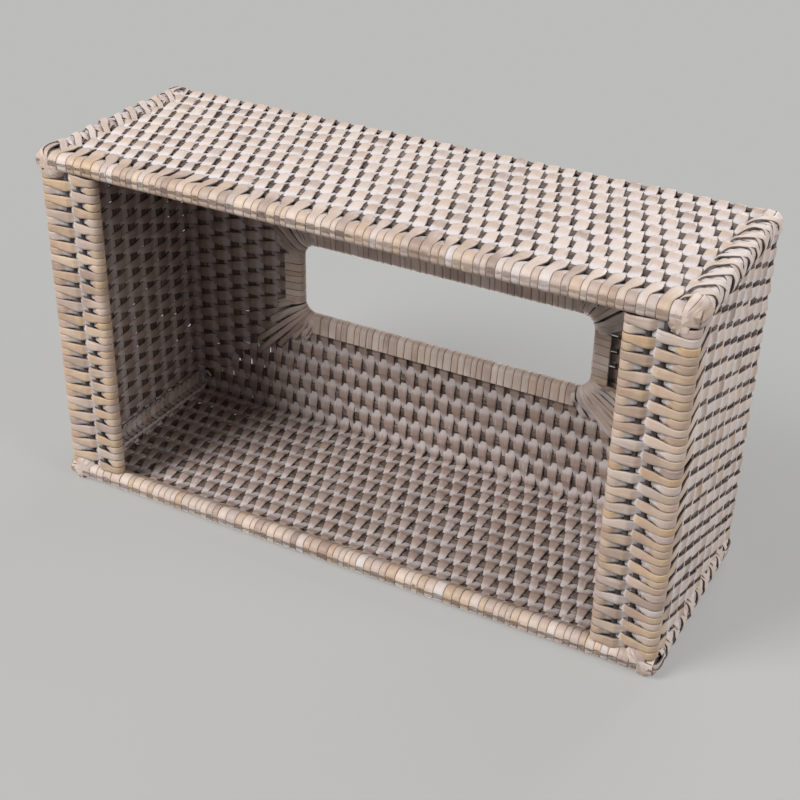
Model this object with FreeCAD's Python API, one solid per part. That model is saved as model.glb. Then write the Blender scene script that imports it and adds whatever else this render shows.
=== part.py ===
"""Woven rattan cover for a flat box of tissues.

The cover stands on its open bottom. X is its length, Y its width, Z points up, and the origin is
the centre of the bottom, on the surface that the cover rests on. Round canes make the frame and
the courses of the five panels. Flat strips run from the bottom rim up each wall, over the top edge
and on to the slot, passing outside and inside the canes by turns.
"""
import FreeCAD
import Part
import math
import os

# Overall size, over the weave
length = 270.0
width = 151.0
height = 93.0

# Canes: thin ones for the courses, stouter ones for slot, lips and corners, thick ones for the rims
course_diameter = 1.6
cane_diameter = 4.0
lip_course_diameter = 2.6
rim_cane_diameter = 5.8
course_spacing = 8.8
end_course_spacing = 9.6

# Flat strips of peel, and the room they leave
strip_thickness = 0.9
strip_width = 2.9
strip_gap = 0.4
lay_gap = 0.05

# Butt joints between canes, and the room between a strip's end and what it is tucked against
joint_gap = 0.1
tuck_gap = 0.3

# Slot in the top, measured between its wrapped edges
slot_length = 137.0
slot_width = 33.0
slot_corner_radius = 6.0

# Lips that reach in under both ends of the tissue box
lip_reach = 26.5
lip_lift = 0.15

# Flat that the long rims rest on
foot_depth = 0.4

# Sizes worked out from the driving dimensions
course_radius = course_diameter / 2
cane_radius = cane_diameter / 2
lip_course_radius = lip_course_diameter / 2
rim_cane_radius = rim_cane_diameter / 2
skin = lay_gap + strip_thickness
weave_half = course_radius + skin
cane_half = cane_radius + skin
rim_half = rim_cane_radius + skin
strip_middle = lay_gap + strip_thickness / 2
strip_pitch = strip_width + strip_gap

wall_x = length / 2 - weave_half
wall_y = width / 2 - weave_half
edge_z = height - weave_half
post_x = length / 2 - cane_half
post_y = width / 2 - cane_half
rim_x = length / 2 - rim_half
rim_y = width / 2 - rim_half
rim_z = rim_half - foot_depth
lip_z = rim_half + lip_lift
lip_inner_x = length / 2 - lip_reach + cane_half
lip_course_x = [lip_inner_x + (rim_x - lip_inner_x) * place for place in (0.31, 0.61)]
slot_x = slot_length / 2 + cane_half
slot_y = slot_width / 2 + cane_half
slot_z = height - cane_half

# Clear half lengths of what fits between the corners
post_clear_x = post_x - cane_radius - joint_gap
edge_clear_y = wall_y - course_radius - joint_gap
band_clear_y = post_y - cane_half - joint_gap
strip_clear_x = post_x - cane_half - joint_gap
strip_clear_y = rim_y - rim_half - joint_gap


def rows_in(span, spacing=course_spacing):
    """Number of even steps from course to course that a panel has room for."""
    return max(2, round(span / spacing))


# Courses of the walls, from the bottom rim to the top edge
long_rows = rows_in(edge_z - rim_z)
long_levels = [rim_z + (edge_z - rim_z) * row / long_rows for row in range(1, long_rows)]
end_rows = rows_in(edge_z - lip_z, end_course_spacing)
end_levels = [lip_z + (edge_z - lip_z) * row / end_rows for row in range(1, end_rows)]

# Courses of the top panel, from the top edge to the slot. They end on its four diagonals
top_span_x = wall_x - slot_x
top_span_y = wall_y - slot_y
top_step_x = top_span_x / rows_in(top_span_x)
top_step_y = top_span_y / rows_in(top_span_y)
top_x = [wall_x - top_step_x * row for row in range(1, rows_in(top_span_x))]
top_y = [wall_y - top_step_y * row for row in range(1, rows_in(top_span_y))]
diagonal_x = [wall_x - (wall_y - y) * top_span_x / top_span_y for y in top_y]
diagonal_y = [wall_y - (wall_x - x) * top_span_y / top_span_x for x in top_x]

# Each side of the cover is made facing +X and turned about Z to its place
turns = {"right": 0.0, "back": 90.0, "left": 180.0, "front": 270.0}
long_sides = ("front", "back")
end_sides = ("left", "right")

# A bend past three quarters of a turn is a slack one, turned the other way
slack_bend = 3 / 4 * 2 * math.pi

origin = FreeCAD.Vector(0, 0, 0)
up = FreeCAD.Vector(0, 0, 1)
across = FreeCAD.Vector(0, 1, 0)


def save(node, solids):
    """Write one node, a single solid or a group of separate solids."""
    shape = solids[0] if len(solids) == 1 else Part.makeCompound(solids)
    shape.exportStep(os.path.join("parts", node + ".step"))
    print(node, len(solids), "solids", round(shape.Volume / 1000, 2), "cm3")


def turned(shape, side):
    """Turn a shape made facing +X to one side of the cover."""
    copy = shape.copy()
    copy.rotate(origin, up, turns[side])
    return copy


def cane(radius, out, level, half):
    """Straight cane along Y at a distance out from the middle, half its length to each side."""
    return Part.makeCylinder(radius, 2 * half, FreeCAD.Vector(out, -half, level), across)


def sleeve(radius, out, level, half):
    """Close wrapping of strip round a straight cane, one strip thick."""
    outer = cane(radius + skin, out, level, half)
    return outer.cut(cane(radius + lay_gap, out, level, half))


def tangent(first, second):
    """Direction of the line that leaves one turn and meets the next.

    A turn is its centre, its radius and its sense, 1 for anticlockwise. The centre of a turn lies
    to the left of an anticlockwise path, so the line's left normal joins both centres' offsets.
    """
    (x1, z1), radius1, sense1 = first
    (x2, z2), radius2, sense2 = second
    span = math.hypot(x2 - x1, z2 - z1)
    lean = math.asin((sense2 * radius2 - sense1 * radius1) / span)
    return math.atan2(z2 - z1, x2 - x1) - lean


def strip_outline(path):
    """Closed wire, in the XZ plane, of a strip that follows a list of turns from end to end.

    The first and last turns have no radius, and are the strip's two ends.
    """
    headings = [tangent(a, b) for a, b in zip(path, path[1:])]
    half = strip_thickness / 2

    def point(turn, heading, offset):
        (x, z), radius, sense = turn
        reach = offset - sense * radius
        return FreeCAD.Vector(x - reach * math.sin(heading), 0, z + reach * math.cos(heading))

    def chain(offset):
        edges = []
        for place, heading in enumerate(headings):
            begin = point(path[place], heading, offset)
            finish = point(path[place + 1], heading, offset)
            edges.append(Part.LineSegment(begin, finish).toShape())
            if place + 1 < len(headings):
                bend = path[place + 1]
                sense = bend[2]
                sweep = (sense * (headings[place + 1] - heading)) % (2 * math.pi)
                middle = point(bend, heading + sense * sweep / 2, offset)
                leave = point(bend, headings[place + 1], offset)
                edges.append(Part.Arc(finish, middle, leave).toShape())
        return edges

    left = chain(half)
    right = chain(-half)
    caps = []
    for place, heading in ((0, headings[0]), (-1, headings[-1])):
        ends = [point(path[place], heading, offset) for offset in (half, -half)]
        caps.append(Part.LineSegment(*ends).toShape())
    return Part.Wire(Part.__sortEdges__(left + right + caps))


def strip(path):
    """One flat strip, as wide as it is cut, centred on the XZ plane."""
    solid = Part.Face(strip_outline(path)).extrude(across * strip_width)
    solid.translate(across * (-strip_width / 2))
    return solid


def weave_turn(out, level, outside, radius=course_radius):
    """Turn of a strip round a cane, on the outer or the inner side of the panel."""
    return ((out, level), radius + strip_middle, 1 if outside else -1)


def end_of_strip(out, level):
    """Plain end of a strip, where it is tucked away."""
    return ((out, level), 0, 1)


def taut(path):
    """Leave out the turns that a taut strip runs clear of."""
    kept = path[:1]
    for turn, after in zip(path[1:], path[2:]):
        bend = turn[2] * (tangent(turn, after) - tangent(kept[-1], turn))
        if bend % (2 * math.pi) < slack_bend:
            kept.append(turn)
    return kept + path[-1:]


def side_path(wall, levels, top, top_step, passed, phase, lip):
    """Turns of one strip from the bottom rim to its end in the top panel.

    passed counts the courses of the top panel that the strip reaches, and phase is 0 or 1 for the
    two ways of starting. Rows are counted from the rim, and odd and even ones change sides.
    """
    if lip:
        path = [end_of_strip(lip_inner_x + cane_half + tuck_gap, lip_z)]
        for number, out in enumerate(lip_course_x):
            path.append(weave_turn(out, lip_z, (number + phase) % 2 == 0, lip_course_radius))
        path.append(weave_turn(rim_x, lip_z, True, rim_cane_radius))
    else:
        path = [end_of_strip(wall, rim_z + rim_half + tuck_gap)]
    reached = top[:passed]
    places = [(wall, level) for level in levels + [edge_z]] + [(out, edge_z) for out in reached]
    for row, (out, level) in enumerate(places, 1):
        path.append(weave_turn(out, level, (row + phase) % 2 == 0))
    last = reached[-1] if reached else wall
    to_slot = top_step - cane_half - tuck_gap
    path.append(end_of_strip(last - (to_slot if passed == len(top) else top_step / 2), edge_z))
    return taut(path)


def side_strips(wall, levels, top, top_step, diagonal, corner_room, clear, lip):
    """All the strips of one side, evenly spaced between its corners.

    diagonal holds how far along the side each top course reaches, and corner_room is what a strip
    leaves free there, so that it ends on its own side of the diagonal.
    """
    count = int(2 * clear / strip_pitch)
    spacing = 2 * clear / count
    made = {}
    strips = []
    for number in range(count):
        offset = spacing * (number + 1 / 2) - clear
        outer = abs(offset) + strip_width / 2
        passed = sum(outer <= limit - corner_room for limit in diagonal)
        key = (passed, number % 2)
        if key not in made:
            made[key] = strip(side_path(wall, levels, top, top_step, *key, lip))
        copy = made[key].copy()
        copy.translate(across * offset)
        strips.append(copy)
    return strips


def slot_ring(radius):
    """Closed round bar along the middle of the slot's rim, with rounded corners."""
    bend = slot_corner_radius + cane_half
    run_x = slot_x - bend
    run_y = slot_y - bend
    half_turn = bend * math.sqrt(1 / 2)
    edges = []
    for sx, sy in ((1, 1), (-1, 1), (-1, -1), (1, -1)):
        centre = FreeCAD.Vector(sx * run_x, sy * run_y, slot_z)
        flat = FreeCAD.Vector(sx * slot_x, sy * run_y, slot_z)
        middle = centre + FreeCAD.Vector(sx * half_turn, sy * half_turn, 0)
        steep = FreeCAD.Vector(sx * run_x, sy * slot_y, slot_z)
        edges.append(Part.Arc(flat, middle, steep).toShape())
    for side in (1, -1):
        ends = [FreeCAD.Vector(side * slot_x, end * run_y, slot_z) for end in (1, -1)]
        edges.append(Part.LineSegment(*ends).toShape())
        ends = [FreeCAD.Vector(end * run_x, side * slot_y, slot_z) for end in (1, -1)]
        edges.append(Part.LineSegment(*ends).toShape())
    spine = Part.Wire(Part.__sortEdges__(edges))
    start = spine.OrderedVertexes[0].Point
    heading = spine.OrderedEdges[0].tangentAt(spine.OrderedEdges[0].FirstParameter)
    section = Part.Wire(Part.makeCircle(radius, start, heading))
    return spine.makePipeShell([section], True, False)


def corner_lashings(x, y):
    """Bands of strip round a corner post, one between each two courses of the long walls."""
    bands = []
    for low, high in zip(long_levels, long_levels[1:] + [edge_z]):
        foot = FreeCAD.Vector(x, y, (low + high - strip_width) / 2)
        outer = Part.makeCylinder(cane_radius + skin, strip_width, foot)
        inner = Part.makeCylinder(cane_radius + lay_gap, strip_width, foot)
        bands.append(outer.cut(inner))
    return bands


def bottom_frame():
    """Four thick rim canes, with the wrapping that the cover rests on along the long sides."""
    floor = FreeCAD.Vector(-length, -length, -height)
    below = Part.makeBox(2 * length, 2 * length, height, floor)
    rim = cane(rim_cane_radius, rim_y, rim_z, length / 2)
    wrapping = sleeve(rim_cane_radius, rim_y, rim_z, length / 2).cut(below)
    for side in long_sides:
        save(side + "_rim_cane", [turned(rim, side)])
        save(side + "_rim_wrapping", [turned(wrapping, side)])
    rim = cane(rim_cane_radius, rim_x, lip_z, strip_clear_y)
    for side in end_sides:
        save(side + "_rim_cane", [turned(rim, side)])


def lips():
    """Three canes under each end, the innermost one wrapped."""
    inner = cane(cane_radius, lip_inner_x, lip_z, strip_clear_y)
    middle = [cane(lip_course_radius, out, lip_z, strip_clear_y) for out in lip_course_x]
    wrapping = sleeve(cane_radius, lip_inner_x, lip_z, strip_clear_y)
    for side in end_sides:
        save(side + "_lip_inner_cane", [turned(inner, side)])
        save(side + "_lip_middle_canes", [turned(solid, side) for solid in middle])
        save(side + "_lip_wrapping", [turned(wrapping, side)])


def corners():
    """Upright posts between the rim and the top edge, with their lashings."""
    foot_z = rim_z + rim_half + joint_gap
    tall = edge_z - course_radius - joint_gap - foot_z
    for front_back, y in (("front", -post_y), ("back", post_y)):
        for left_right, x in (("left", -post_x), ("right", post_x)):
            corner = front_back + "_" + left_right
            post = Part.makeCylinder(cane_radius, tall, FreeCAD.Vector(x, y, foot_z))
            save("corner_post_" + corner, [post])
            save("corner_lacing_" + corner, corner_lashings(x, y))


def courses():
    """Straight canes of the walls, the top edge and the top panel."""
    end_room = course_radius + joint_gap
    for sides, wall, levels, top, diagonal, half, edge_half in (
        (long_sides, wall_y, long_levels, top_y, diagonal_x, post_clear_x, wall_x + course_radius),
        (end_sides, wall_x, end_levels, top_x, diagonal_y, band_clear_y, edge_clear_y),
    ):
        walls = [cane(course_radius, wall, level, half) for level in levels]
        tops = [cane(course_radius, out, edge_z, end - end_room) for out, end in zip(top, diagonal)]
        edge = cane(course_radius, wall, edge_z, edge_half)
        for side in sides:
            save(side + "_wall_canes", [turned(solid, side) for solid in walls])
            save(side + "_edge_cane", [turned(edge, side)])
            save(side + "_top_canes", [turned(solid, side) for solid in tops])


def slot():
    """Bent cane round the slot, and the strip wrapped closely round it."""
    save("slot_rim_cane", [slot_ring(cane_radius)])
    wrapping = slot_ring(cane_radius + skin).cut(slot_ring(cane_radius + lay_gap))
    save("slot_rim_wrapping", [wrapping])


def weave():
    """Strips of the four sides, each running on into the top panel."""
    room_x = top_step_y / 2 * top_span_x / top_span_y
    room_y = top_step_x / 2 * top_span_y / top_span_x
    long_strips = side_strips(
        wall_y, long_levels, top_y, top_step_y, diagonal_x, room_x, strip_clear_x, False)
    end_strips = side_strips(
        wall_x, end_levels, top_x, top_step_x, diagonal_y, room_y, strip_clear_y, True)
    for sides, strips in ((long_sides, long_strips), (end_sides, end_strips)):
        for side in sides:
            save(side + "_strips", [turned(solid, side) for solid in strips])


os.makedirs("parts", exist_ok=True)
bottom_frame()
lips()
corners()
courses()
slot()
weave()
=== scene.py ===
# %% [markdown]
# # A woven rattan tissue box cover
# The cover is a frame of round canes, closed by flat strips of rattan peel that pass outside and
# inside thin courses by turns. The thick canes come ready from the CAD model. This lesson adds what
# makes the cover look woven by hand: courses pressed flat, strips that vary in width, height and
# colour, laced corners, and a worn white wash.

import bpy
import numpy as np
from mathutils import Matrix


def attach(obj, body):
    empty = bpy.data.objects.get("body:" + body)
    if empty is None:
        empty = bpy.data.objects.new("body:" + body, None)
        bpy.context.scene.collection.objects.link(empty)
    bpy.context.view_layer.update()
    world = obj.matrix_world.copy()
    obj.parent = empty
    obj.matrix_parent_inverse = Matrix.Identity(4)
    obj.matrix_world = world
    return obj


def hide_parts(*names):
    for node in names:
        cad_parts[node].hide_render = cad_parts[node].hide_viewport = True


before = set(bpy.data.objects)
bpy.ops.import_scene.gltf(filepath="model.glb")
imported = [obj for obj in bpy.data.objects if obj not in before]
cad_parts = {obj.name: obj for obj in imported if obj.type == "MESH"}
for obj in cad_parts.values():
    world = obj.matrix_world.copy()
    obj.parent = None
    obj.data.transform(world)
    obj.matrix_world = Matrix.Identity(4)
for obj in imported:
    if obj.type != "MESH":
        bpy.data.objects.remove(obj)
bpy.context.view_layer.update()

# %% [markdown]
# The strips have to lie close on the canes, so the sizes of the frame are written down once, in
# millimetres. A side of the cover is described by how far out from the middle a point lies, how
# high it is, and how far it lies along the side. All four sides then share the same formulas. A lay
# is the distance from the middle of a cane to the middle of the strip that goes round it. Each side
# also says how broad its floats are, and how worn, dark and bare its first windings are.

# %% Sizes of the frame
peel = 0.8
lay = 1.0
cane_lay = 2.0 + 0.05 + peel / 2
rim_lay = 2.9 + 0.05 + peel / 2
edge_z = 91.25
slot_z = 90.05
lip_z = 4.0
lip_inner = 111.45
lip_rows = (117.557, 123.467)
long_side = {
    "wall": 73.75, "rim": (71.65, 3.45), "levels": np.linspace(3.45, edge_z, 11)[1:],
    "top": np.linspace(73.75, 19.45, 7)[1:], "wide": 133.25, "slope": 61.8 / 54.3,
    "count": 78, "clear": 129.0, "reach": 131.0, "slot_run": 63.0, "lip": False,
    "float": 4.6, "worn": 0.8, "darker": 0.16, "bared": 0.45,
}
end_side = {
    "wall": 133.25, "rim": (131.15, 4.0), "levels": np.linspace(4.0, edge_z, 10)[1:],
    "top": np.linspace(133.25, 71.45, 8)[1:], "wide": 73.75, "slope": 54.3 / 61.8,
    "count": 41, "clear": 67.7, "reach": 72.0, "slot_run": 11.0, "lip": True,
    "float": 4.8, "worn": 0.95, "darker": 0.36, "bared": 0.65,
}
sides = {
    "front": (long_side, 270.0), "back": (long_side, 90.0),
    "left": (end_side, 180.0), "right": (end_side, 0.0),
}
chance = np.random.default_rng(41)
print("rows in a long wall:", len(long_side["levels"]), "in an end wall:", len(end_side["levels"]))

# %% [markdown]
# Shader maths reads best as arithmetic. The small class below wraps one socket, so that two
# sockets can be added or multiplied in plain Python and each sign puts a Math node in the tree.
# Every other node comes from a single method, which sets the node up first and then fills its
# sockets with numbers or links.

# %% Sockets as numbers
class Wire:
    """A socket of a shader tree that takes part in arithmetic."""

    def __init__(self, finish, socket):
        self.finish = finish
        self.socket = socket

    def math(self, operation, first, second):
        return self.finish.node("ShaderNodeMath", {"operation": operation}, {0: first, 1: second})

    def __add__(self, other):
        return self.math("ADD", self, other)

    def __radd__(self, other):
        return self.math("ADD", other, self)

    def __sub__(self, other):
        return self.math("SUBTRACT", self, other)

    def __rsub__(self, other):
        return self.math("SUBTRACT", other, self)

    def __mul__(self, other):
        return self.math("MULTIPLY", self, other)

    def __rmul__(self, other):
        return self.math("MULTIPLY", other, self)


class Finish:
    """A node tree, with one method that adds nodes of any kind to it."""

    def __init__(self, name, owner=None):
        self.owner = owner or bpy.data.materials.new(name)
        self.owner.use_nodes = True
        self.tree = self.owner.node_tree
        self.tree.nodes.clear()

    def node(self, kind, settings=None, sockets=None, out=0):
        made = self.tree.nodes.new(kind)
        for name, value in (settings or {}).items():
            if name == "stops":
                self.set_stops(made.color_ramp, value)
            else:
                setattr(made, name, value)
        for name, value in (sockets or {}).items():
            if isinstance(value, Wire):
                self.tree.links.new(value.socket, made.inputs[name])
            else:
                made.inputs[name].default_value = value
        return Wire(self, made.outputs[out]) if made.outputs else made

    def set_stops(self, ramp, stops):
        while len(ramp.elements) < len(stops):
            ramp.elements.new(1.0)
        for element, (place, colour) in zip(ramp.elements, stops):
            element.position = place
            element.color = (*colour, 1.0)

    def blend(self, share, first, second, how="MIX"):
        settings = {"data_type": "RGBA", "blend_type": how}
        colours = [(*c, 1.0) if isinstance(c, tuple) else c for c in (first, second)]
        return self.node("ShaderNodeMix", settings, {0: share, 6: colours[0], 7: colours[1]}, out=2)

    def smooth(self, value, low, high, start=0.0, end=1.0):
        sockets = {0: value, 1: low, 2: high, 3: start, 4: end}
        return self.node("ShaderNodeMapRange", {"interpolation_type": "SMOOTHSTEP"}, sockets)

    def attribute(self, name):
        return self.node("ShaderNodeAttribute", {"attribute_name": name}, out=2)

    def stretched(self, vector, scale):
        return self.node("ShaderNodeVectorMath", {"operation": "MULTIPLY"}, {0: vector, 1: scale})

    def noise(self, vector, scale, detail=3.0, roughness=0.55, out=0):
        sockets = {"Vector": vector, "Scale": scale, "Detail": detail, "Roughness": roughness}
        return self.node("ShaderNodeTexNoise", {}, sockets, out)


print("signs that make Math nodes:", [sign for sign in vars(Wire) if sign.startswith("__r")])

# %% [markdown]
# Peel is the shiny skin of the rattan stem, split into flat strips. Its fibres run along the
# strip, so the grain is a noise stretched along the strip's own UV map. The white wash was wiped
# off where a hand reaches, on the floats, and stayed where a strip dives between its neighbours.
# Each strip carries that as an attribute, crest, next to its tone and how bare it is. Both
# edges of a strip are painted near black, a painted shade line between two strips that lie side by
# side.
# The inner face is painted darker as well, partly the raw back of the peel, partly painted shade.

# %% Finish of the peel
def peel_finish(name):
    """Skin coloured by tone and grain, under a wash that thins out towards the crests."""
    f = Finish(name)
    crest, tone = f.attribute("crest"), f.attribute("tone")
    bare, outer = f.attribute("bare"), f.attribute("outer")
    along = f.node("ShaderNodeUVMap", {"uv_map": "strip"})
    across = f.node("ShaderNodeSeparateXYZ", {}, {0: along}, out=1)
    here = f.node("ShaderNodeTexCoord", {}, out=3)
    fibre = f.noise(f.stretched(along, (2.4, 1.5, 0.0)), 3.2, 4.0, 0.62)
    hair = f.noise(f.stretched(along, (3.2, 4.2, 0.0)), 3.0, 3.0, 0.6)
    mottle = f.noise(here, 62.0, 3.0, 0.6)
    cloud = f.noise(here, 240.0, 2.0, 0.6)
    shade = tone + (fibre - 0.5) * 0.55 + (mottle - 0.5) * 0.5
    skin = f.node("ShaderNodeValToRGB", {"stops": (
        (0.0, (0.32, 0.235, 0.20)), (0.26, (0.46, 0.36, 0.315)), (0.5, (0.575, 0.468, 0.415)),
        (0.74, (0.645, 0.545, 0.492)), (1.0, (0.70, 0.615, 0.575)))}, {0: shade})
    gold = f.blend(f.smooth(cloud, 0.35, 0.7), (0.52, 0.335, 0.19), (0.60, 0.455, 0.27))
    skin = f.blend(bare * f.smooth(fibre + mottle, 0.72, 1.2, 0.35, 1.0), skin, gold)
    # Painted shade in part: the inner face is darkened, partly for the raw back of the peel, partly for
    # the shade in the gaps of the weave.
    raw_back_and_shade = f.blend(0.75, skin, (0.24, 0.165, 0.14))
    skin = f.blend(outer, raw_back_and_shade, skin)
    worn = f.smooth(crest + (fibre - 0.5) * 0.9 + (cloud - 0.5) * 0.5, 0.05, 0.95, 1.0, 0.0)
    film = f.smooth(fibre + hair + mottle - bare * 0.35, 1.5, 1.95, 0.0, 0.55)
    kept = worn * (0.6 + outer * 0.32)
    larger = {"operation": "MAXIMUM", "use_clamp": True}
    wash = f.node("ShaderNodeMath", larger, {0: kept, 1: film})
    colour = f.blend(wash, skin, (0.665, 0.625, 0.632))
    line = f.smooth(hair, 0.28, 0.43, 0.36, 0.0)
    colour = f.blend(line, colour, (0.23, 0.165, 0.13))
    # Painted shade: both edges of a strip are painted near black, for the dark seam between strips.
    middle = f.node("ShaderNodeMath", {"operation": "ABSOLUTE"}, {0: across - 0.5})
    rim = f.smooth(middle + (hair - 0.5) * 0.05, 0.43, 0.488, 0.0, 0.92)
    colour = f.blend(rim, colour, (0.045, 0.028, 0.022))
    relief = hair * 0.6 + fibre * 0.8 + wash * 0.25
    bump = f.node("ShaderNodeBump", {}, {"Strength": 0.4, "Distance": 0.00035, "Height": relief})
    rough = 0.5 + wash * 0.2 + (fibre - 0.5) * 0.2
    shader = f.node("ShaderNodeBsdfPrincipled", {}, {
        "Base Color": colour, "Roughness": rough, "Normal": bump, "Specular IOR Level": 0.35})
    f.node("ShaderNodeOutputMaterial", {}, {"Surface": shader})
    return f.owner


peel_material = peel_finish("washed_peel")
print("finish:", peel_material.name, len(peel_material.node_tree.nodes), "nodes")

# %% [markdown]
# The canes are the core of the stem: duller, with coarse lengthwise pores. Inside the weave they are
# unwashed, and they are painted darker than the cane itself, so that they also stand for the shade in
# the gaps of the weave: partly cane colour, partly painted shade. Those of the rims and lips are a dark
# grey, and the corner posts, which show between the bands of the lacing, are paler. The grain follows
# Object coordinates, squeezed along the cane, so the direction of the cane is given with the finish.

# %% Finish of the canes
def cane_finish(name, stretch, stops):
    """Colours picked from the stops by fine pores along the cane and by larger patches."""
    f = Finish(name)
    here = f.node("ShaderNodeTexCoord", {}, out=3)
    pores = f.noise(f.stretched(here, stretch), 900.0, 4.0, 0.6)
    patch = f.noise(here, 85.0, 3.0, 0.6)
    shade = pores * 0.6 + patch * 0.7 - 0.15
    colour = f.node("ShaderNodeValToRGB", {"stops": stops}, {0: shade})
    bump = f.node("ShaderNodeBump", {}, {"Strength": 0.45, "Distance": 0.0003, "Height": pores})
    shader = f.node("ShaderNodeBsdfPrincipled", {}, {
        "Base Color": colour, "Roughness": 0.62 + pores * 0.2, "Normal": bump})
    f.node("ShaderNodeOutputMaterial", {}, {"Surface": shader})
    return f.owner


# Painted shade in part: the dark stops are unwashed cane, darkened further for the shade in the gaps of
# the weave.
dark_and_shade_stops = ((0.2, (0.028, 0.018, 0.014)), (0.5, (0.095, 0.064, 0.053)), (0.8, (0.34, 0.275, 0.25)))
grey_stops = ((0.2, (0.022, 0.018, 0.018)), (0.5, (0.06, 0.05, 0.05)), (0.8, (0.20, 0.18, 0.185)))
pale_stops = ((0.2, (0.17, 0.125, 0.105)), (0.5, (0.28, 0.22, 0.195)), (0.8, (0.45, 0.385, 0.36)))
cane_shades = {"dark": dark_and_shade_stops, "grey": grey_stops, "pale": pale_stops}
ways = {"x": (0.05, 1.0, 1.0), "y": (1.0, 0.05, 1.0), "z": (1.0, 1.0, 0.05)}
cane_materials = {}
for node_name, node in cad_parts.items():
    way = "z" if "post" in node_name else "y" if node_name.startswith(("left", "right")) else "x"
    shade = "grey" if "lip" in node_name or "rim_cane" in node_name else "dark"
    shade = "pale" if "post" in node_name else shade
    kind = shade + "_cane_along_" + way
    if kind not in cane_materials:
        cane_materials[kind] = cane_finish(kind, ways[way], cane_shades[shade])
    node.data.materials.clear()
    node.data.materials.append(cane_materials[kind])
print("canes finished:", len(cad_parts), "with", len(cane_materials), "finishes")

# %% [markdown]
# A strip pulled tight round a row of canes is a chain of arcs joined by straight runs, like a belt
# on pulleys. The tangent of two neighbouring arcs follows from their centres, radii and the side
# on which the strip passes. All strips of one kind are worked out together as whole arrays.

# %% The path of a tight strip
def stations(counts, run):
    """Where the rings of a strip lie: the turn each belongs to, its share, and if it is on a run."""
    turn = [np.zeros(1)]
    share = [np.zeros(1)]
    straight = [np.ones(1)]
    for number, count in enumerate(counts[1:], 1):
        steps = np.arange(1, run + 1) / (run + 1)
        turn.append(np.full(run, number - 1))
        share.append(steps)
        straight.append(np.ones(run))
        if number < len(counts) - 1:
            turn.append(np.full(count, number))
            share.append(np.linspace(0, 1, count))
            straight.append(np.zeros(count))
    turn.append(np.full(1, len(counts) - 2))
    share.append(np.ones(1))
    straight.append(np.ones(1))
    return np.concatenate(turn).astype(int), np.concatenate(share), np.concatenate(straight) > 0


def belt(centre, radius, sense, counts, run=3):
    """Points and headings of belts round turns.

    centre [strip, turn, 2], radius and sense [strip, turn]. The heading of a run is the angle from
    centre to centre less asin((sense2 radius2 - sense1 radius1) / distance). A point of an arc is
    the centre plus sense radius (sin heading, -cos heading), its heading swept from run to run.
    """
    step = np.diff(centre, axis=1)
    pull = np.diff(sense * radius, axis=1) / np.linalg.norm(step, axis=2)
    heading = np.arctan2(step[..., 1], step[..., 0]) - np.arcsin(np.clip(pull, -1, 1))
    sweep = (sense[:, 1:-1] * np.diff(heading, axis=1)) % (2 * np.pi)
    sweep = np.where(sweep > 1.5 * np.pi, sweep - 2 * np.pi, sweep)
    turn, share, straight = stations(counts, run)
    inner = np.clip(turn, 1, centre.shape[1] - 2)
    bend = heading[:, inner - 1] + sense[:, inner] * sweep[:, inner - 1] * share
    course = np.clip(turn, 0, heading.shape[1] - 1)
    angle = np.where(straight, heading[:, course], bend)
    side = np.stack([np.sin(angle), -np.cos(angle)], -1)
    arm = (sense * radius)[..., None]
    after = np.clip(turn + 1, 0, centre.shape[1] - 1)
    leave = centre[:, turn] + arm[:, turn] * side
    arrive = centre[:, after] + arm[:, after] * side
    on_run = leave + (arrive - leave) * share[:, None]
    place = turn + np.where(straight, share, 0.0)
    return np.where(straight[:, None], on_run, leave), side, place


def spread(control, place):
    """Values given per turn, [strip, turn], eased from turn to turn along the rings."""
    low = np.clip(np.floor(place).astype(int), 0, control.shape[1] - 2)
    part = np.clip(place - low, 0, 1)
    part = part * part * (3 - 2 * part)
    return control[:, low] * (1 - part) + control[:, low + 1] * part


print("rings of a three-turn strip:", len(stations([1, 5, 5, 5, 1], 3)[0]))

# %% [markdown]
# A strip has a nearly flat outer face, thin rounded edges and a flat inner face. The profile of ten
# points is carried along the path. Its width and tilt change from ring to ring, which a modelled
# extrusion or a bevelled curve could not do strip by strip.

# %% A profile carried along a path
profile = np.array([
    (-1.0, 0.05), (-0.9, 0.4), (-0.5, 0.5), (0.5, 0.5), (0.9, 0.4),
    (1.0, 0.05), (0.93, -0.4), (0.4, -0.5), (-0.4, -0.5), (-0.93, -0.4)])
outer_face = np.array([0.75, 1, 1, 1, 1, 0.75, 0, 0, 0, 0], float)
facing = np.where(outer_face == 0.75, 0.6, 2 * outer_face - 1)


def unit(vectors):
    """Vectors divided by their own length."""
    return vectors / np.maximum(np.linalg.norm(vectors, axis=-1, keepdims=True), 1e-9)


def carry(line, normal, width, thickness=peel, roll=0.0):
    """Profile points along lines, [strip, ring, profile, 3].

    A point is line + side (v w/2 cos roll - h t sin roll) + up (v w/2 sin roll + h t cos roll),
    where side = along x up, v and h come from the profile, w is the width and t the thickness.
    """
    along = unit(np.gradient(line, axis=1))
    up = unit(normal - np.sum(normal * along, -1, keepdims=True) * along)
    side = np.cross(along, up)
    across = profile[:, 0] * np.asarray(width)[..., None] / 2
    height = profile[:, 1] * thickness
    roll = np.asarray(roll)[..., None]
    sideways = across * np.cos(roll) - height * np.sin(roll)
    upward = across * np.sin(roll) + height * np.cos(roll)
    moved = side[:, :, None] * sideways[..., None] + up[:, :, None] * upward[..., None]
    return line[:, :, None] + moved


def measure(line):
    """Length along each line so far, in millimetres, with a start of its own."""
    step = np.linalg.norm(np.diff(line, axis=1), axis=-1)
    start = chance.uniform(0, 4000, (line.shape[0], 1))
    return np.concatenate([start, start + np.cumsum(step, axis=1)], axis=1)


print("points in the profile of a strip:", len(profile))

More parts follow.
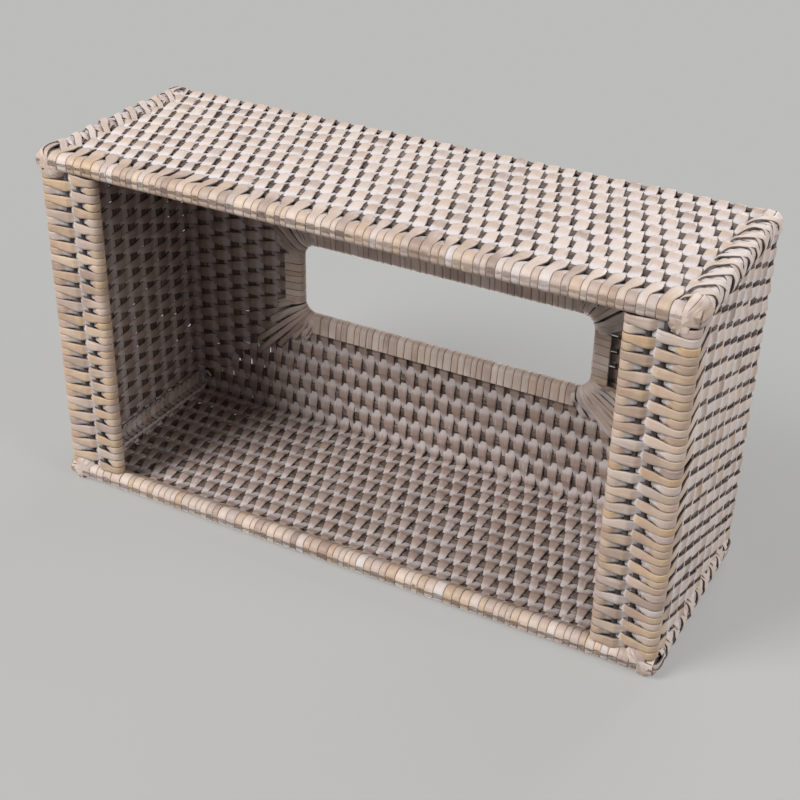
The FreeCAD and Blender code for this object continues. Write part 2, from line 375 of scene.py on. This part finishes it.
# %% [markdown]
# Grids of points become one mesh per piece. Each ring is joined to the next by four-sided faces,
# and both ends of a strip are closed by a face with corners of its own, so that the shading of the
# long faces is not pulled round the end. The winding is tested with the volume that the faces
# enclose: where it comes out negative, all faces are turned round.

# %% From grids to a mesh
def strips_piece(name, groups, replaced, material=peel_material):
    """One piece from groups of strips. A group holds points [strip, ring, profile, 3] in
    millimetres, the length along the strip, and crest, tone and bare per strip and ring."""
    points, corners, starts, uvs = [], [], [], []
    values = {"crest": [], "tone": [], "bare": [], "outer": []}
    count = loops = 0
    for group in groups:
        ends = {key: value[:, [0, -1]] for key, value in group.items()}
        for rows, capped in ((group, False), (ends, True)):
            grid = rows["points"]
            number = count + np.arange(grid[..., 0].size).reshape(grid.shape[:3])
            near, far = number[:, :-1], number[:, 1:]
            if capped:
                faces = np.concatenate([number[:, 0, ::-1], number[:, -1]])
            else:
                faces = np.stack([near, np.roll(near, -1, 2), np.roll(far, -1, 2), far], -1)
                faces = faces.reshape(-1, 4)
            corners.append(faces.ravel())
            starts.append(loops + faces.shape[1] * np.arange(len(faces)))
            loops += faces.size
            count += number.size
            points.append(grid.reshape(-1, 3))
            whole = np.ones(grid.shape[:3])
            values["crest"].append(whole * rows["crest"][..., None] * facing)
            values["tone"].append(whole * rows["tone"][..., None])
            values["bare"].append(whole * rows["bare"][..., None])
            values["outer"].append(whole * outer_face)
            length = whole * rows["length"][..., None] / 100
            uvs.append(np.stack([length, whole * (profile[:, 0] + 1) / 2], -1).reshape(-1, 2))
    points = np.concatenate(points)
    corners = np.concatenate(corners)
    starts = np.concatenate(starts)
    uvs = np.concatenate(uvs)
    mesh = bpy.data.meshes.new(name)
    mesh.vertices.add(len(points))
    mesh.vertices.foreach_set("co", (points / 1000).astype(np.float32).ravel())
    mesh.loops.add(len(corners))
    mesh.loops.foreach_set("vertex_index", corners.astype(np.int32))
    mesh.polygons.add(len(starts))
    mesh.polygons.foreach_set("loop_start", starts.astype(np.int32))
    for label, rows in values.items():
        attribute = mesh.attributes.new(label, "FLOAT", "POINT")
        flat = np.concatenate([row.ravel() for row in rows])
        attribute.data.foreach_set("value", flat.astype(np.float32))
    layer = mesh.uv_layers.new(name="strip")
    layer.data.foreach_set("uv", uvs[corners].astype(np.float32).ravel())
    mesh.update(calc_edges=True)
    mesh.shade_smooth()
    fan = corners[starts], corners[starts + 1], corners[starts + 2]
    volume = np.einsum("ij,ij->", points[fan[0]], np.cross(points[fan[1]], points[fan[2]]))
    if volume < 0:
        mesh.flip_normals()
    mesh.validate()
    mesh.materials.append(material)
    piece = bpy.data.objects.new(name, mesh)
    bpy.context.scene.collection.objects.link(piece)
    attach(piece, "root")
    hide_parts(*replaced)
    print(name, len(starts), "faces,", len(corners) - 2 * len(starts), "triangles")
    return piece


print("quads from ring to ring:", len(profile), "round each strip")

# %% [markdown]
# Not every strip is pulled tight round canes. Courses, fans and stitches are bent by hand, so they
# follow a smooth curve through a few given points. A curve object with a bevel could do that too,
# but would not carry the width, tone and wear of each strip to the same mesh and finish.

# %% Strips on free curves
def through(points, rings):
    """Catmull-Rom curve through rows of points [strip, point, any], as [strip, ring, any]."""
    place = np.linspace(0, points.shape[1] - 1, rings)
    low = np.clip(np.floor(place).astype(int), 0, points.shape[1] - 2)
    t = (place - low)[:, None]
    top = points.shape[1] - 1
    a, b = points[:, np.clip(low - 1, 0, top)], points[:, low]
    c, d = points[:, low + 1], points[:, np.clip(low + 2, 0, top)]
    return 0.5 * (2 * b + (c - a) * t + (2 * a - 5 * b + 4 * c - d) * t ** 2
                  + (3 * b - a - 3 * c + d) * t ** 3)


def free_strips(points, normals, width, rings, tone=0.55, bare=0.1, thickness=peel, crest=0.8):
    """Strips along smooth curves through points, facing along the given normals."""
    line = through(points, rings)
    face = through(normals, rings)
    strips = len(line)
    widths = np.broadcast_to(np.asarray(width, float), points.shape[:2])
    wide = through(widths[..., None], rings)[..., 0]
    even = np.ones((strips, rings))
    return {
        "points": carry(line, face, wide, thickness), "length": measure(line),
        "crest": even * np.clip(chance.normal(crest, 0.2, (strips, 1)), -1, 1),
        "tone": even * np.clip(chance.normal(tone, 0.13, (strips, 1)), 0, 1),
        "bare": even * np.clip(chance.normal(bare, 0.12, (strips, 1)), 0, 1),
    }


straight_line = np.arange(4.0)[None, :, None] * np.ones(3)
print("length of a test curve:", np.ptp(through(straight_line, 10)[0, :, 0]))

# %% [markdown]
# The courses of the real cover are not true rounds. The strips press them flat, so that they fill
# the gap between a strip outside and its neighbour inside, and no light comes through. They are
# made like strips, on curves that wander a little. Round bars would be simpler, but leave bright
# holes wherever the weave is seen at a slant. The course on the top edge is narrow, because a broad
# one would show there as a dark line.

# %% Courses pressed flat
course_width = 4.2
edge_course_width = 2.2
course_thickness = 1.3


def courses(side, angle):
    """Flat bars along the rows of a side: point = middle + lane along the side, with small waves."""
    turn = np.radians(angle)
    edge_row = len(side["levels"]) - 1
    half = side["wide"] - np.clip(side["wall"] - side["top"][:-1], 0, None) * side["slope"] + 1.2
    out = np.concatenate([np.full(len(side["levels"]), side["wall"]), side["top"][:-1]])
    level = np.concatenate([side["levels"], np.full(len(side["top"]) - 1, edge_z)])
    reach = np.concatenate([np.full(len(side["levels"]), side["reach"]), half])
    lane = reach[:, None] * np.linspace(-1, 1, 24)
    on_top = np.arange(len(out)) > edge_row
    wave = chance.normal(0, 0.12, lane.shape)
    away = out[:, None] + np.where(on_top[:, None], wave, 0)
    high = level[:, None] + np.where(on_top[:, None], 0, wave)
    points = np.stack([away * np.cos(turn) - lane * np.sin(turn),
                       away * np.sin(turn) + lane * np.cos(turn), high], -1)
    outward = np.array([np.cos(turn), np.sin(turn), 0.0])
    normals = np.where(on_top[:, None, None], np.array([0.0, 0.0, 1.0]), outward) + 0 * points
    normals[edge_row] += (0.0, 0.0, 1.0)
    broad = np.where(np.arange(len(out)) == edge_row, edge_course_width, course_width)[:, None]
    return free_strips(points, normals, broad, 70, 0.35, 0.05, course_thickness, -0.1)


for side_name, (side, angle) in sides.items():
    pressed = [side_name + kind for kind in ("_wall_canes", "_edge_cane", "_top_canes")]
    # The courses take the dark finish of the canes, which is partly painted shade for the gaps between
    # the strips.
    finish = cane_materials["dark_cane_along_" + ("y" if side["lip"] else "x")]
    strips_piece(side_name + "_courses", [courses(side, angle)], pressed, finish)

# %% [markdown]
# Now the weave itself. A strip of a long side starts inside the wall, goes under the bottom rim
# and up the outside, then in and out of the courses, over the top edge and on to the slot, where
# it is wound round the slot's cane. A strip of an end starts on the inner cane of the lip. Near
# the corners a strip meets the neighbouring side, and ends on the diagonal of the top panel. First
# comes the list of turns that such a strip takes, for the belt formula above.

# %% The turns of a strip
lip_float_lay = 2.5
lip_tuck_lay = 0.3


def tiles(count, span, flare=0.0, uneven=0.34):
    """Centres and widths of uneven bands that lie edge to edge over a span, wider at its ends."""
    widths = chance.uniform(1 - uneven, 1 + uneven, count)
    place = np.abs(np.linspace(-1, 1, count))
    widths *= 1 + flare * np.clip((place - 0.82) / 0.18, 0, 1)
    widths *= span / widths.sum()
    return np.cumsum(widths) - widths / 2 - span / 2, widths


def side_turns(side, phase, passed, ring, lanes):
    """Centres, radii, senses and ring counts of the turns of some strips of a side."""
    wall, levels, top = side["wall"], side["levels"], side["top"]
    if side["lip"]:
        places = [(lip_inner + 4.4, lip_z + 3.0), (lip_inner, lip_z)]
        places += [(out, lip_z) for out in lip_rows] + [side["rim"]]
        radii = [0, cane_lay, lip_tuck_lay, lip_tuck_lay, rim_lay]
        radii[2 + phase] = lip_float_lay
        senses = [1, 1, 1 - 2 * phase, 2 * phase - 1, 1]
        counts = [1, 10, 5, 5, 8]
    else:
        places = [(wall - 1.5, 10.8), side["rim"]]
        radii, senses, counts = [0, rim_lay], [1, 1], [1, 13]
    first_row = len(places)
    rows = [(wall, level) for level in levels] + [(out, edge_z) for out in top[:passed]]
    places += rows
    radii += [lay] * len(rows)
    senses += [1 if (row + phase) % 2 == 0 else -1 for row in range(1, len(rows) + 1)]
    counts += [7 if place == (wall, edge_z) else 5 for place in rows]
    if ring:
        places += [(top[-1], slot_z), (top[-1] + 5.4, slot_z - 3.2)]
        radii += [cane_lay, 0]
        senses += [1, 1]
        counts += [9, 1]
    else:
        places.append((0, 0))
        radii.append(0)
        senses.append(1)
        counts.append(1)
    centre = np.repeat(np.array(places, float)[None], len(lanes), 0)
    radius = np.repeat(np.array(radii, float)[None], len(lanes), 0)
    sense = np.repeat(np.array(senses, float)[None], len(lanes), 0)
    if not ring:
        meet = wall - (side["wide"] - np.abs(lanes)) / side["slope"]
        reach = np.clip(rows[-1][0] - meet + 3.8, 3.0, top[0] - top[1] - 1.4)
        centre[:, -1, 0] = rows[-1][0] - reach
        centre[:, -1, 1] = edge_z + np.where(reach < 3.6, sense[:, -2] * 1.0, 0)
    return centre, radius, sense, counts, first_row


print("turns of a long strip:", side_turns(long_side, 0, 6, True, np.zeros(1))[1].shape[1])

# %% [markdown]
# A weaver's strips are never alike. Each float gets a width, a lift and a small roll of its own, and
# all floats taper the same way, because the strip is pulled from one end. That leaves the dark gaps
# of the weave as leaning wedges instead of squares. Copies of one strip would be quick to make, but
# the eye finds the repeat at once.

# %% Strips of one side
rim_half = 134.8
float_taper = 1.1
float_shift = 0.28
panel_lean = 20.0
lip_widths = (4.0, 4.6)
tail_width = 3.4


def side_groups(side, angle):
    """All strips of one side, in groups that pass the same courses in the same way.

    slant = sin(pi (turn - turn of the crest)) is nothing on a crest and 1 halfway to the next course.
    It takes the taper off the width and moves the strip along the side by the shift. On the top panel
    strips beyond the slot lean towards it, by the lean times b (1 - b) times the depth squared, where
    b goes from 0 at the end of the slot to 1 at the corner.
    """
    count, clear = side["count"], side["clear"]
    number = np.arange(count)
    start = 2 * clear / count * (number + 0.5) - clear
    lanes = start * side["reach"] / clear
    half = side["wide"] - (side["wall"] - side["top"][:-1]) * side["slope"]
    passed = np.sum(np.abs(lanes)[:, None] <= half - 0.8, axis=1)
    ringed = np.abs(lanes) <= side["slot_run"]
    if side["lip"]:
        start_centre, start_width = tiles(count, 2 * clear + 0.4, 0.0, 0.12)
    else:
        start_centre, start_width = tiles(count, 2 * rim_half, 0.5)
    slot_centre = lanes.copy()
    slot_width = np.zeros(count)
    bands = tiles(int(ringed.sum()), 2 * side["slot_run"] + 1.0)
    slot_centre[ringed], slot_width[ringed] = bands
    tone = np.clip(chance.normal(0.52, 0.15, count), 0.08, 0.95)
    bare = np.clip(chance.normal(0.12, 0.16, count), 0.0, 0.8)
    turn = np.radians(angle)
    groups = []
    kinds = zip(passed.tolist(), ringed.tolist(), (number % 2).tolist())
    for passes, ring, phase in sorted(set(kinds)):
        pick = np.nonzero((passed == passes) & (ringed == ring) & (number % 2 == phase))[0]
        centre, radius, sense, counts, first_row = side_turns(side, phase, passes, ring, lanes[pick])
        shape = radius.shape
        woven = np.zeros(shape, bool)
        woven[:, first_row:first_row + len(side["levels"]) + passes] = True
        lift = np.clip(np.abs(chance.normal(0, 0.14, shape)), 0, 0.4)
        radius = radius + np.where(radius > 0, np.where(woven, lift, lift * 0.4), 0)
        flat, normal, place = belt(centre, radius, sense, counts)
        height = spread(sense, place)
        width = np.where(woven, chance.normal(side["float"], 0.22, shape), tail_width)
        wander = np.where(woven, chance.normal(0, 0.12, shape), 0.0)
        width[:, :first_row] = start_width[pick][:, None] * 1.03
        wander[:, :first_row] = (start_centre - lanes)[pick][:, None]
        if side["lip"]:
            width[:, 2:4] = lip_widths[0]
            width[:, 2 + phase] = lip_widths[1]
            wander[:, 2:4] = (start - lanes)[pick][:, None]
        if ring:
            width[:, -2:] = slot_width[pick][:, None] * 1.03
            wander[:, -2:] = (slot_centre - lanes)[pick][:, None]
        slant = np.sin(np.pi * (place - first_row + 1 - phase)) * spread(woven * 1.0, place)
        wide = spread(width, place) * (1 - 0.08 * (1 - height ** 2)) - float_taper * slant
        roll = spread(np.where(woven, chance.normal(0, 0.07, shape), 0.0), place)
        out, level = flat[..., 0], flat[..., 1]
        depth = np.clip((side["wall"] - out) / (side["wall"] - side["top"][-1]), 0, 1)
        past_slot = np.abs(lanes[pick]) - side["slot_run"]
        beyond = np.clip(past_slot / (side["wide"] - side["slot_run"]), 0, 1)
        lean = -np.sign(lanes[pick]) * panel_lean * beyond * (1 - beyond)
        lane = lanes[pick][:, None] + spread(wander, place) + lean[:, None] * depth ** 2
        lane = lane - float_shift * slant
        line = np.stack([out * np.cos(turn) - lane * np.sin(turn),
                         out * np.sin(turn) + lane * np.cos(turn), level], -1)
        face = np.stack([normal[..., 0] * np.cos(turn), normal[..., 0] * np.sin(turn),
                         normal[..., 1]], -1)
        points = carry(line, face, wide, peel, roll)
        points[..., 2] = np.maximum(points[..., 2], 0.0)
        crest = sense.copy()
        crest[:, :first_row] *= chance.normal(side["worn"], 0.14, (len(pick), 1))
        shades = tone[pick][:, None] + chance.normal(0, 0.1, shape)
        shades[:, :first_row] -= side["darker"]
        bareness = bare[pick][:, None] + chance.normal(0, 0.06, shape)
        bareness[:, :first_row] += chance.uniform(0.0, side["bared"], (len(pick), 1))
        groups.append({
            "points": points, "length": measure(line), "crest": spread(crest, place),
            "tone": np.clip(spread(shades, place), 0, 1),
            "bare": np.clip(spread(bareness, place), 0, 1),
            "cut": place, "turns": shape[1], "ring": ring,
        })
    return groups


# %% [markdown]
# One strip runs through three pieces of the cover: the winding of a rim or lip, the weave, and the
# winding of the slot. The grids are cut between two turns, and both cuts share a ring, so nothing
# shows. Made apart, the pieces would have to be matched strip by strip.

# %% Windings and weave as pieces
def part_of(group, first, last):
    """The stretch of a group between two rings."""
    return {key: value[:, first:last] for key, value in group.items()}


def split_side(groups, start_turn):
    """The strips before a turn, the weave, and the windings on the slot's cane."""
    first, middle, last = [], [], []
    for group in groups:
        place, turns, ring = group.pop("cut"), group.pop("turns"), group.pop("ring")
        begin = int(np.argmin(np.abs(place - (start_turn + 0.5))))
        end = int(np.argmin(np.abs(place - (turns - 2.5)))) if ring else len(place) - 1
        first.append(part_of(group, 0, begin + 1))
        middle.append(part_of(group, begin, end + 1))
        if ring:
            last.append(part_of(group, end, len(place)))
    return first, middle, last


slot_windings = []
for side_name, (side, angle) in sides.items():
    begun, woven_part, ended = split_side(side_groups(side, angle), 1)
    start_name = side_name + ("_lip_" if side["lip"] else "_rim_")
    strips_piece(start_name + "winding", begun, [start_name + "wrapping"])
    strips_piece(side_name + "_weave", woven_part, [side_name + "_strips"])
    slot_windings += ended

# %% [markdown]
# At the rounded corners of the slot the strips fan out along the diagonals of the top panel. Each
# is hung over the slot's cane, and both its tails run outwards, one on either face of the panel.

# %% Fans at the corners of the slot
def slot_fan(toward_x, toward_y, count=10):
    """Strips hung over one corner of the slot's cane.

    s is the distance from the middle of the corner's bend, 8.95 at the cane. Up to the cane a strip
    follows its own angle p, and beyond it turns to p + 0.62 (41.2 degrees - p).
    """
    angle = np.radians(np.linspace(3, 87, count) + chance.normal(0, 2.0, count))[:, None]
    onward = angle + 0.62 * (np.radians(41.2) - angle)
    tails = 11 + 30 * np.sin(2 * angle) ** 4 * chance.uniform(0.55, 1.0, (count, 2))
    share = np.array([1.0, 0.85, 0.6, 0.3, 0.05])
    rise = np.array([1.2, 2.7, 3.1, 2.9, 2.7])
    fall = np.array([-2.7, -1.7, -0.9, -0.6, 1.0])
    upper, under = tails[:, :1] * share, tails[:, 1:] * share[::-1]
    none = np.zeros((count, 3))
    past = np.concatenate([upper, none, under], 1)
    wave = chance.normal(0, 0.25, (count, 5))
    ring_s = np.repeat(np.array([[8.95, 6.35, 8.95]]), count, 0)
    s = np.concatenate([np.full((count, 5), 11.4), ring_s, np.full((count, 5), 11.4)], 1)
    z = np.concatenate([rise + wave, np.repeat(np.array([[2.6, 0.0, -2.6]]), count, 0),
                        fall - wave], 1)
    x = 62.5 + s * np.cos(angle) + past * np.cos(onward)
    y = 10.5 + s * np.sin(angle) + past * np.sin(onward)
    points = np.stack([toward_x * x, toward_y * y, slot_z + z], -1)
    up = np.concatenate([np.ones(5), [1, 0, -1], -np.ones(5)])
    flat = np.concatenate([np.zeros(5), [0, -1, 0], np.zeros(5)])
    normals = np.stack([toward_x * flat * np.cos(angle), toward_y * flat * np.sin(angle),
                        up + 0 * angle], -1)
    width = np.concatenate([np.full(4, 2.7), [2.3, 1.9, 1.2, 1.9, 2.3], np.full(4, 2.7)])
    return free_strips(points, normals, width, 61, 0.42)


for toward_y in (-1, 1):
    for toward_x in (-1, 1):
        slot_windings.append(slot_fan(toward_x, toward_y))
strips_piece("slot_winding", slot_windings, ["slot_rim_wrapping"])

# %% [markdown]
# The four upright corners are laced. Bands go round the corner post from wall to wall, and on top
# of them hooked stitches come out of one wall, cross the corner at a slant and go into the other.
# The corners at the top and at the bottom are rounded off by strips that spread like fingers.

# %% Lacing of the corners
def stitches(shape, rows, loose):
    """Copies of one stitch at several heights, each a little off the pattern."""
    local = np.repeat(np.array(shape, float)[None], len(rows), 0)
    local[..., 2] += rows[:, None]
    local[:, 1:-1] += chance.normal(0, loose, local[:, 1:-1].shape) * (0.6, 0.6, 1.8)
    away = unit(np.concatenate([local[..., :2] - 4.5, np.zeros_like(local[..., :1])], -1))
    return local, away


def fingers(angles, reach, drop, bulge):
    """Strips over a rounded corner: reach and drop are the distance from the corner's axis and the
    depth below its top at each point, and bulge is added to the reach halfway between the walls."""
    angles = np.radians(angles)[:, None]
    out = reach + np.where(np.asarray(reach) > 3, bulge * np.sin(2 * angles), 0)
    local = np.stack([5 - out * np.cos(angles), 5 - out * np.sin(angles), drop + 0 * angles], -1)
    tip = np.gradient(np.stack([out, drop + 0 * angles], -1), axis=1)
    across = -tip[..., 1] / np.linalg.norm(tip, axis=-1)
    rise = tip[..., 0] / np.linalg.norm(tip, axis=-1)
    away = np.stack([across * np.cos(angles), across * np.sin(angles), -rise], -1)
    return local, away


def corner_lacing(toward_x, toward_y):
    """All strips of one corner, from (inwards on the long wall, inwards on the end wall, height)."""
    band = [(9.5, 4.6, -1.2), (7.4, 1.5, -0.8), (5.0, 0.6, -0.3), (2.6, 0.6, 0.0), (0.95, 1.05, 0.2),
            (0.5, 2.7, 0.4), (0.6, 5.0, 0.7), (1.5, 7.4, 1.2), (4.6, 9.5, 1.6)]
    hook = [(11.0, 3.8, -3.4), (8.8, 0.5, -1.8), (6.0, -0.45, 0.6), (3.0, -0.6, 3.0), (0.6, 0.15, 4.9),
            (-0.55, 2.3, 5.9), (-0.5, 4.8, 6.2), (0.5, 7.0, 6.2), (3.6, 8.8, 6.0)]
    cross = [(3.6, 10.4, 0.4), (0.6, 8.0, 1.0), (-0.2, 5.6, 2.0), (-0.2, 2.9, 3.4), (0.75, 0.85, 4.9),
             (2.7, -0.1, 6.0), (5.2, -0.1, 6.8), (7.2, 0.6, 7.4), (9.6, 3.4, 7.6)]
    made = []
    rows = np.arange(10.5, 88, 3.5)
    inner = [(9.6, 4.9, -0.9), (8.0, 4.6, -0.6), (6.2, 4.7, -0.3), (5.0, 5.0, 0.0), (4.7, 6.2, 0.3),
             (4.6, 8.0, 0.6), (4.9, 9.6, 0.9)]
    lining, _ = stitches(inner, rows, 0.08)
    inward = np.clip((9.6 - lining) / 4.7, 0.0, 1.0) * (1.0, 1.0, 0.0)
    made.append((lining, unit(inward), 3.6, 0.3, 0.7))
    made.append((*stitches(band, rows, 0.12), 3.7, 0.36, 0.3))
    made.append((*stitches(cross, 7.0 + 8.66 * np.arange(9), 0.2), 2.9, 0.55, 0.7))
    made.append((*stitches(hook, 9.5 + 8.66 * np.arange(9), 0.25), 3.2, 0.6, 0.8))
    reach = np.array([-9.0, -6.4, -3.0, 1.2, 3.6, 5.0, 5.35, 5.2, 2.4])
    drop = np.array([3.8, 1.0, 0.1, 0.1, 0.9, 2.8, 5.6, 9.4, 12.6])
    over, facing_up = fingers(np.array([12.0, 45.0, 78.0]), reach, drop, 0.75)
    over[..., 2] = 92.8 - over[..., 2]
    facing_up[..., 2] *= -1
    made.append((over, facing_up, 3.7, 0.6, 0.6))
    reach = np.array([-8.0, -5.0, -1.0, 3.2, 5.0, 5.6, 5.5, 4.6, 1.6])
    drop = np.array([4.6, 0.9, 0.45, 0.5, 2.0, 4.6, 8.2, 10.8, 12.8])
    under, facing_down = fingers(np.array([8.0, 31.0, 55.0, 80.0]), reach, drop, 0.8)
    made.append((under, facing_down, 4.0, 0.3, 0.9))
    groups = []
    for local, away, width, tone, crest in made:
        points = np.stack([toward_x * (135.0 - local[..., 0]), toward_y * (75.5 - local[..., 1]),
                           np.clip(local[..., 2], 0.45, 92.9)], -1)
        normals = np.stack([-toward_x * away[..., 0], -toward_y * away[..., 1], away[..., 2]], -1)
        wide = width + chance.normal(0, 0.18, (len(points), 1))
        groups.append(free_strips(points, normals, wide, 33, tone, 0.12, peel, crest))
    return groups


for front_back, toward_y in (("front", -1), ("back", 1)):
    for left_right, toward_x in (("left", -1), ("right", 1)):
        corner = front_back + "_" + left_right
        strips_piece("lacing_" + corner, corner_lacing(toward_x, toward_y), ["corner_lacing_" + corner])

# %% [markdown]
# A plain pale floor and soft light. The cover lies on its long side in the picture, so the floor
# of the picture is an upright plane here, and a second floor lies under the cover for views of it
# standing. Each is clear from behind and fades out around the cover, and neither blocks any light.
# The weak lamp called bounce stands for what a pale floor throws back at the cover from below.

# %% Floor, light and camera
pale = (0.505, 0.505, 0.5)


def floor_finish(name, axes):
    """Pale paint that is clear from behind and fades with the distance along the given axes."""
    f = Finish(name)
    here = f.node("ShaderNodeTexCoord", {}, out=3)
    spread_out = f.stretched(here, axes)
    reach = f.node("ShaderNodeVectorMath", {"operation": "LENGTH"}, {0: spread_out}, out=1)
    fade = f.smooth(reach, 0.17, 0.4, 1.0, 0.0)
    behind = f.node("ShaderNodeNewGeometry", {}, out=6)
    paint = f.node("ShaderNodeBsdfDiffuse", {}, {"Color": (0.40, 0.40, 0.392, 1.0)})
    glow = f.node("ShaderNodeEmission", {}, {"Color": (0.54, 0.54, 0.53, 1.0)})
    paint = f.node("ShaderNodeMixShader", {}, {0: 0.5, 1: paint, 2: glow})
    clear = f.node("ShaderNodeBsdfTransparent", {}, {"Color": (1.0, 1.0, 1.0, 1.0)})
    shader = f.node("ShaderNodeMixShader", {}, {0: fade * (1 - behind), 1: clear, 2: paint})
    f.node("ShaderNodeOutputMaterial", {}, {"Surface": shader})
    return f.owner


def plane(name, corners, material):
    """A sheet with four given corners that only the camera sees."""
    mesh = bpy.data.meshes.new(name)
    mesh.from_pydata(corners, [], [(0, 1, 2, 3)])
    mesh.materials.append(material)
    sheet = bpy.data.objects.new(name, mesh)
    bpy.context.scene.collection.objects.link(sheet)
    sheet.visible_diffuse = False
    sheet.visible_glossy = False
    sheet.visible_transmission = False
    sheet.visible_shadow = False
    return sheet


half = 0.9
wall_y = 0.0766
ends = ((-half, -half), (half, -half), (half, half), (-half, half))
plane("floor_lying", [(u, wall_y, v) for u, v in ends],
      floor_finish("pale_floor_lying", (1.0, 0.0, 1.0)))
plane("floor_standing", [(u, v, 0.0) for u, v in ends],
      floor_finish("pale_floor_standing", (1.0, 1.0, 0.0)))

world = bpy.data.worlds.new("studio")
bpy.context.scene.world = world
w = Finish("studio", world)
rays = [w.node("ShaderNodeLightPath", {}, out=place) for place in (0, 3, 6)]
capped = {"operation": "ADD", "use_clamp": True}
seen = w.node("ShaderNodeMath", capped, {0: rays[0], 1: rays[1] + rays[2]})
dim = w.node("ShaderNodeBackground", {}, {"Color": (1.0, 0.99, 0.98, 1.0), "Strength": 0.135})
shown = w.node("ShaderNodeBackground", {}, {"Color": (*pale, 1.0), "Strength": 1.0})
sky = w.node("ShaderNodeMixShader", {}, {0: seen, 1: dim, 2: shown})
w.node("ShaderNodeOutputWorld", {}, {"Surface": sky})


def softbox(name, place, across, power, aim=(0.0, 0.0, 0.04)):
    """A round lamp whose back points from the aim to its place."""
    lamp = bpy.data.lights.new(name, "AREA")
    lamp.shape = "DISK"
    lamp.size = across
    lamp.energy = power
    lamp.color = (1.0, 0.985, 0.97)
    box = bpy.data.objects.new(name, lamp)
    back = np.array(place, float) - np.array(aim, float)
    back /= np.linalg.norm(back)
    right = np.cross((0.123, 0.2, 1.0), back)
    right /= np.linalg.norm(right)
    up = np.cross(back, right)
    rows = np.eye(4)
    rows[:3, 0], rows[:3, 1], rows[:3, 2], rows[:3, 3] = right, up, back, place
    box.matrix_world = Matrix(rows.tolist())
    bpy.context.scene.collection.objects.link(box)
    return box


softbox("key", (-0.66, -1.08, -0.98), 0.8, 31.0)
softbox("side", (1.30, -0.55, -0.10), 0.8, 12.0)
softbox("overhead", (0.15, -0.5, 1.5), 1.0, 14.0)
softbox("bounce", (-0.30, 0.75, -0.75), 0.9, 3.0)
softbox("rear", (-0.7, 1.2, 0.6), 0.8, 8.0)

lens = bpy.data.cameras.new("camera")
lens.sensor_width = 36.0
lens.lens = 1447.38 / 800 * lens.sensor_width
lens.clip_start = 0.01
lens.clip_end = 10.0
camera = bpy.data.objects.new("camera", lens)
axes = np.eye(4)
axes[:3, 0] = (0.87715, -0.01785, 0.47988)
axes[:3, 1] = (-0.25744, -0.86105, 0.43855)
axes[:3, 2] = (0.40537, -0.50822, -0.75986)
axes[:3, 3] = (0.242684, -0.280323, -0.401750)
camera.matrix_world = Matrix(axes.tolist())
bpy.context.scene.collection.objects.link(camera)
bpy.context.scene.camera = camera
bpy.context.scene.view_settings.view_transform = "Standard"
print("focal length in millimetres:", round(lens.lens, 2), "lamps:", len(bpy.data.lights))

# %% [markdown]
# The finished model has to keep the size of the CAD model. Last, the scene is brought up to date.

# %% Finish
bpy.context.view_layer.update()
